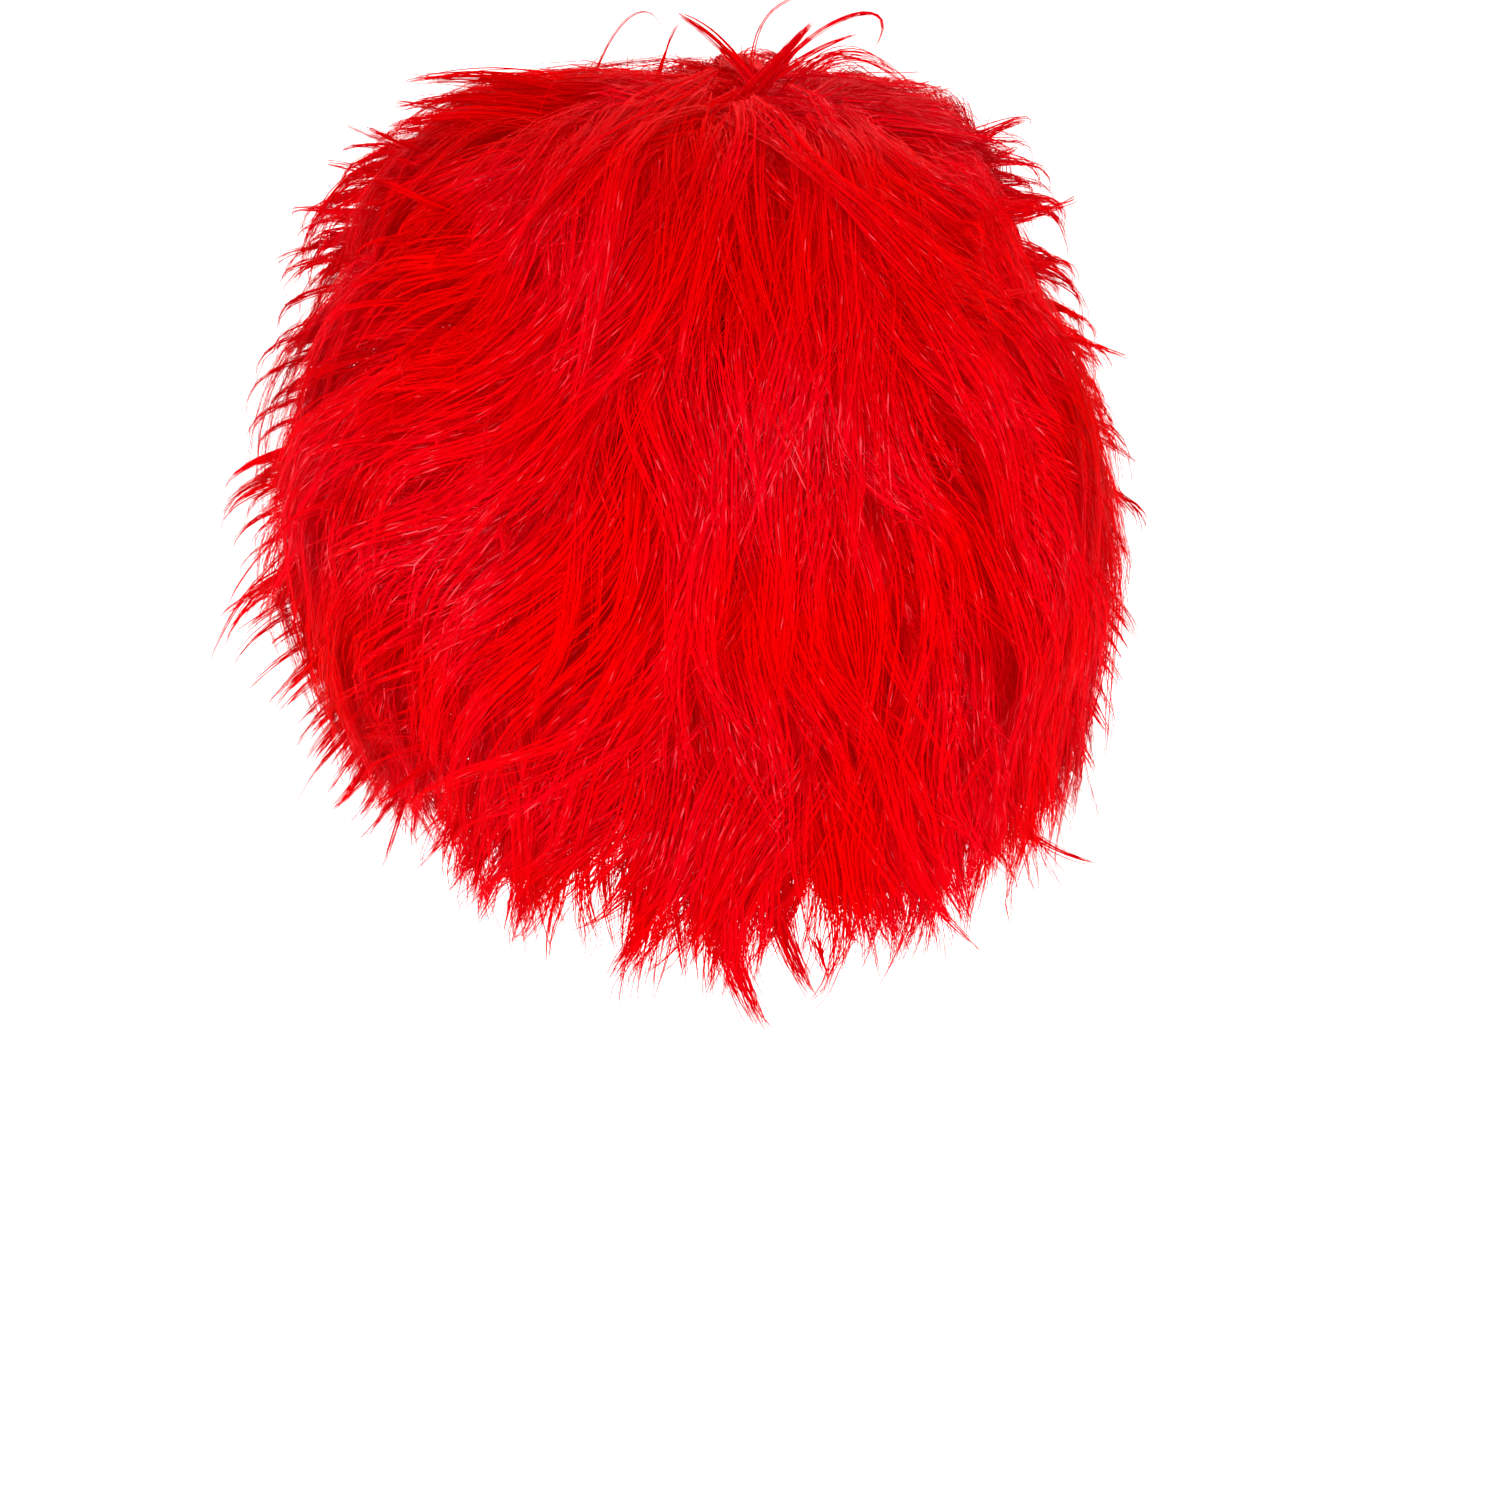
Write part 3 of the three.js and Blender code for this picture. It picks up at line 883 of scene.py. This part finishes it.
# %% [markdown]
# Loose strands.
# What makes this wig lively is what escaped the brush: a tuft that stands straight up out of the whorl, a
# thin lock that crosses behind it, a few curls against the white, and a fuzz of single hairs over the
# top. Each strand of the table is a curve with a foot, two bends and a tip, seen from behind.

# %% The strands that stand off
STRAND_STEPS = 12
# Columns: corner of the curve, share of the lean, share of the spread
STRAND_CORNERS = (
    ("foot", 0.0, 1.0),
    ("low_bend", 0.15, 1.2),
    ("high_bend", 0.55, 1.0),
    ("tip", 1.0, 0.45),
)
STRAND_COLUMNS = ("foot", "low_bend", "high_bend", "tip", "foot_y", "tip_y", "spread", "fibres")
STRANDS = [
    ((-0.006, 0.014), (0.003, 0.026), (0.013, 0.037), (0.023, 0.048), -0.044, -0.066, 0.0017, 110),
    ((0.004, 0.022), (0.028, 0.058), (0.058, 0.056), (0.041, 0.035), -0.046, -0.080, 0.0008, 10),
    ((0.004, 0.024), (0.020, 0.038), (0.032, 0.042), (0.041, 0.045), -0.046, -0.030, 0.0008, 10),
    ((0.002, 0.020), (-0.001, 0.046), (0.008, 0.055), (0.020, 0.057), -0.042, -0.020, 0.0007, 8),
    ((0.006, 0.020), (-0.004, 0.038), (-0.015, 0.047), (-0.026, 0.052), -0.042, -0.014, 0.0013, 34),
    ((-0.034, 0.016), (-0.031, 0.030), (-0.027, 0.042), (-0.023, 0.048), -0.030, -0.046, 0.0006, 7),
    ((-0.056, 0.020), (-0.046, 0.056), (-0.032, 0.058), (-0.028, 0.044), -0.020, 0.010, 0.0003, 3),
    ((0.010, 0.020), (0.026, 0.043), (0.044, 0.040), (0.058, 0.023), -0.040, -0.020, 0.0022, 26),
    ((-0.040, 0.016), (-0.066, 0.029), (-0.094, 0.031), (-0.121, 0.027), -0.030, -0.040, 0.0024, 60),
    ((-0.046, 0.012), (-0.072, 0.023), (-0.098, 0.025), (-0.124, 0.018), -0.036, -0.020, 0.0024, 60),
    ((-0.050, 0.008), (-0.078, 0.018), (-0.104, 0.020), (-0.126, 0.010), -0.036, -0.046, 0.0022, 44),
    ((-0.060, -0.002), (-0.090, 0.008), (-0.116, 0.008), (-0.138, -0.008), -0.030, -0.026, 0.0022, 44),
    ((0.092, -0.056), (0.110, -0.060), (0.124, -0.064), (0.133, -0.068), -0.020, -0.030, 0.0008, 10),
    ((0.096, -0.086), (0.116, -0.092), (0.130, -0.098), (0.137, -0.106), -0.010, -0.024, 0.0010, 14),
    ((-0.144, -0.122), (-0.164, -0.136), (-0.180, -0.152), (-0.188, -0.178), -0.010, -0.030, 0.0006, 5),
    ((-0.142, -0.116), (-0.162, -0.126), (-0.178, -0.140), (-0.186, -0.165), 0.000, 0.014, 0.0006, 4),
    ((-0.110, -0.200), (-0.118, -0.220), (-0.122, -0.232), (-0.126, -0.245), -0.040, -0.050, 0.0010, 10),
    ((-0.116, 0.002), (-0.138, -0.002), (-0.150, -0.014), (-0.156, -0.038), -0.020, -0.010, 0.0016, 30),
    ((0.082, -0.220), (0.098, -0.232), (0.110, -0.240), (0.124, -0.241), -0.040, -0.052, 0.0010, 12),
    ((-0.014, -0.226), (-0.012, -0.250), (-0.006, -0.272), (0.008, -0.296), -0.110, -0.096, 0.0042, 110),
    ((0.004, -0.230), (0.008, -0.250), (0.014, -0.268), (0.024, -0.284), -0.110, -0.094, 0.0036, 80),
    ((-0.030, -0.224), (-0.030, -0.246), (-0.034, -0.262), (-0.048, -0.277), -0.110, -0.096, 0.0036, 80),
]


def bend(foot, low_bend, high_bend, tip, steps):
    t = np.linspace(0.0, 1.0, steps + 1)[:, None]
    foot, low_bend, high_bend, tip = (point[..., None, :] for point in (foot, low_bend, high_bend, tip))
    rest = 1 - t
    return foot * rest**3 + 3 * low_bend * t * rest**2 + 3 * high_bend * t**2 * rest + tip * t**3


def strand_lines(strand):
    count = strand["fibres"]
    corners = []
    for name, leaned, loose in STRAND_CORNERS:
        x, z = strand[name]
        y = strand["foot_y"] + (strand["tip_y"] - strand["foot_y"]) * leaned
        corners.append(np.array([x, y, z]) + rng.normal(0.0, strand["spread"] * loose, (count, 3)))
    lines = bend(*corners, 3 * STRAND_STEPS)
    return stretch_of(lines, np.arange(count), np.zeros(count), rng.uniform(0.8, 1.0, count), STRAND_STEPS)


# %% A fuzz of single hairs over the top
FUZZ = 420
# Columns: reach, run, curl, fall
FUZZ_LEAST = (0.006, 0.004, 0.006, 0.0)
FUZZ_MOST = (0.015, 0.014, 0.020, 0.014)
STRAND_WIDTH = 0.00052
FUZZ_WIDTH = 0.00026
STRAND_TWIST = 80.0


def fuzz_lines(count):
    level = 3.5 * rng.uniform(0.0, 1.0, count) ** 1.6 - 0.3
    foot = hair_point(level, rng.uniform(-math.pi, math.pi, count), np.full(count, 0.9))
    out = unit(foot - HEAD_MIDDLE)
    aside = unit(np.cross(out, rng.normal(size=(count, 3))))
    reach, run, curl, fall = rng.uniform(FUZZ_LEAST, FUZZ_MOST, (count, 4)).T
    low_bend = foot + out * column(reach) + aside * column(run)
    high_bend = low_bend + aside * column(curl)
    tip = high_bend + aside * column(run) - out * column(fall)
    return bend(foot, low_bend, high_bend, tip, STRAND_STEPS)


def loose_strands():
    strands = [strand_lines(dict(zip(STRAND_COLUMNS, values))) for values in STRANDS]
    lines = np.concatenate([*strands, fuzz_lines(FUZZ)])
    count, points = lines.shape[:2]
    width = np.where(np.arange(count) < count - FUZZ, STRAND_WIDTH, FUZZ_WIDTH)
    width = width * rng.uniform(0.8, 1.2, count)
    share = np.linspace(0.0, 1.0, points)
    along = np.broadcast_to(share, (count, points))
    tone = rng.uniform(0.0, 1.0, count)
    piece = fibre_mesh("loose_strands", lines, column(width) * taper(share), tone, along, STRAND_TWIST)
    wear(piece, "crown_locks", HAIR)


loose_strands()

# %% [markdown]
# Wisps at the edge.
# Against the white the outline is a row of hooks. High up a wisp comes out of the mass, arches over and
# hangs from its own weight. Further down it arches less, and at the nape, where the hair was cut, its end
# kicks out instead. Each hook is a small bunch of fibres that run side by side and end unevenly, and the
# hooks stand apart, so the white shows between them.

# %% Hooks round the outline
HOOK_STEPS = 6
HOOK_TWIST = 45.0
# How far the fibres of a hook stand apart at its foot, its two bends and its tip
HOOK_SPREADS = (0.0020, 0.0013, 0.0010, 0.0008)
# Columns: the row that they belong to, from level, to level, wisps, fibres in each
HOOKS = [
    ("crown_locks", 1.8, 3.2, 74, 15),
    ("top_locks", 2.6, 4.2, 80, 15),
    ("upper_locks", 3.6, 5.2, 80, 15),
    ("middle_locks", 4.6, 6.4, 80, 15),
    ("ear_locks", 5.8, 7.4, 80, 15),
    ("lower_locks", 7.0, 8.6, 80, 15),
    ("nape_locks", 8.0, 9.0, 80, 15),
]


def hook_lines(low, high, wisps, fibres):
    """Arched wisps that start on the outside between two levels, with the fibres of each side by side."""
    level = rng.uniform(low, high, wisps)
    even = rng.uniform(-math.pi, math.pi, wisps)
    heading = even - 0.45 * np.sin(2 * even)
    level = level * (1 - 0.24 * np.maximum(0.0, np.sin(heading)) ** 1.5)
    foot = hair_point(level, heading, np.full(wisps, 0.82))
    down = unit(hair_point(level + 0.1, heading, np.full(wisps, 0.9)) - foot)
    out = unit(foot * [1.0, 1.0, 0.0])
    aside = unit(np.cross(down, out)) * column(np.clip(rng.normal(0.0, 1.0, wisps), -1.5, 1.5))
    hangs = column(1 - 0.6 * smooth(5.5, 7.5, level) - 0.4 * smooth(8.0, 8.8, level))
    size = rng.uniform(0.7, 1.5, wisps) * (0.45 + 0.55 * np.cos(heading) ** 2)
    size = column(size * (0.88 - 0.18 * np.maximum(0.0, np.cos(heading))))
    low_bend = foot + size * (out * (0.002 + 0.007 * hangs) + down * 0.010 + aside * 0.003)
    high_bend = low_bend + size * (out * (0.001 + 0.002 * hangs) + down * 0.011 + aside * 0.005)
    hanging = (np.array([0.0, 0.0, -0.015]) - out * 0.005) * column(rng.uniform(0.4, 1.5, wisps))
    kicking = out * 0.006 + down * 0.009
    tip = high_bend + size * (hanging * hangs + kicking * (1 - hangs) + aside * 0.006)
    wisp = np.repeat(np.arange(wisps), fibres)
    corners = []
    for point, loose in zip((foot, low_bend, high_bend, tip), HOOK_SPREADS):
        corners.append(point[wisp] + rng.normal(0.0, loose, (len(wisp), 3)))
    lines = bend(*corners, 3 * HOOK_STEPS)
    start = np.zeros(len(wisp))
    end = 1 - 0.5 * rng.uniform(0.0, 1.0, len(wisp))
    return stretch_of(lines, np.arange(len(wisp)), start, end, HOOK_STEPS)


for node, low, high, wisps, fibres in HOOKS:
    lines = hook_lines(low, high, wisps, fibres)
    share = np.linspace(0.0, 1.0, lines.shape[1])
    width = column(FIBRE_WIDTH * rng.uniform(0.8, 1.3, len(lines))) * taper(share)
    tone = np.repeat(rng.uniform(0.0, 1.0, wisps), fibres) * 0.5 + rng.uniform(0.0, 0.5, len(lines))
    along = np.broadcast_to(share, lines.shape[:2])
    piece = fibre_mesh(node + "_hooks", lines, width, tone, along, HOOK_TWIST)
    wear(piece, node, HAIR)

# %% [markdown]
# The net cap.
# Under the hair sits a stretch net, open below so that a head goes in. It shows from underneath. A closed
# shell carries the knit as relief, with a sewn tape pressed up under each row of hair.

# %% Shells between two lifts
def shell_mesh(name, rings):
    """A closed mesh from rings of points. The first and last rings join when the rings form a loop."""
    grid = np.array(rings)
    steps, around = grid.shape[:2]
    verts = grid.reshape(-1, 3)
    faces = []
    for i in range(steps):
        below = (i + 1) % steps
        for j in range(around):
            nxt = (j + 1) % around
            faces.append((i * around + j, i * around + nxt, below * around + nxt, below * around + j))
    mesh = bpy.data.meshes.new(name)
    mesh.from_pydata(verts.tolist(), [], faces)
    mesh.shade_smooth()
    made = bpy.data.objects.new(name, mesh)
    bpy.context.scene.collection.objects.link(made)
    return made


def net_cap():
    heading = np.linspace(0.0, 2 * math.pi, 85)[:-1]
    shares = np.linspace(0.004, 1.0, 36)
    outer, inner = [], []
    for share in shares:
        level = (share - CROWN_SHARE) / LEVEL_SHARE
        tape = math.exp(-((level - round(level)) / 0.07) ** 2) if 0 <= round(level) <= RIM_LEVEL else 0.0
        pucker = 0.00025 * np.sin(heading * 48) * (0.3 + tape)
        outer.append(cap_point(share, heading, CAP_WALL + 0 * heading[:, None]))
        inner.append(cap_point(share, heading, (-0.0004 * tape + pucker)[:, None]))
    return shell_mesh("net_cap_knit", outer + inner[::-1])


def net_finish():
    net = Finish("stretch_net")
    where = net.node("ShaderNodeTexCoord", {}, {}, "Object")
    mesh_size = {"Vector": where, "Scale": 420.0}
    cells = net.node("ShaderNodeTexVoronoi", {"feature": "DISTANCE_TO_EDGE"}, mesh_size, "Distance")
    hole = (cells * 3.2).clamped()
    shade = net.noise(60.0)
    net.dress(
        # The holes of the knit are painted darker than its threads: painted shade for the openings.
        Base_Color=net.mix(hole, colour(0.62, 0.004, 0.008), colour(0.30, 0.002, 0.003)),
        Roughness=0.82 + 0.1 * shade,
        Specular_IOR_Level=0.1,
        Normal=net.bump(1 - hole, 0.0005, 0.8),
    )
    return net.material


wear(net_cap(), "net_cap", net_finish())

# %% [markdown]
# The edge band.
# A ribbed elastic binds the rim and grips the head. Its ribs are real here: fine waves round the band,
# with the wall a little gathered between them.

# %% Band
def edge_band():
    ribs = 120
    heading = np.linspace(0.0, 2 * math.pi, ribs * 4 + 1)[:-1]
    rib = np.sin(heading * ribs)
    angle = np.radians(by_heading(heading, EAR_RIM_ANGLE, NAPE_RIM_ANGLE, FOREHEAD_RIM_ANGLE))
    arc = angle * CAP_DEPTH
    profile = [
        (SEAM_GAP, 0.85),
        (0.15 * BAND_HEIGHT, 1.0),
        (0.5 * BAND_HEIGHT, 0.95),
        (0.85 * BAND_HEIGHT, 1.0),
        (BAND_HEIGHT, 0.8),
    ]
    outer = []
    inner = []
    for fall, full in profile:
        share = 1 + fall / arc
        outer.append(cap_point(share, heading, (BAND_WALL * full + 0.0001 * rib)[:, None]))
        inner.append(cap_point(share, heading, (BAND_WALL * (1 - full) - 0.00012 * rib)[:, None]))
    return shell_mesh("edge_band_elastic", outer + inner[::-1])


def elastic_finish():
    elastic = Finish("ribbed_elastic")
    weave = elastic.noise(900.0, 4.0)
    fade = elastic.noise(30.0)
    elastic.dress(
        Base_Color=elastic.mix(fade, colour(0.20, 0.006, 0.009), colour(0.30, 0.01, 0.014)),
        Roughness=0.7 + 0.2 * weave,
        Normal=elastic.bump(weave, 0.0003, 0.6),
    )
    return elastic.material


wear(edge_band(), "edge_band", elastic_finish())
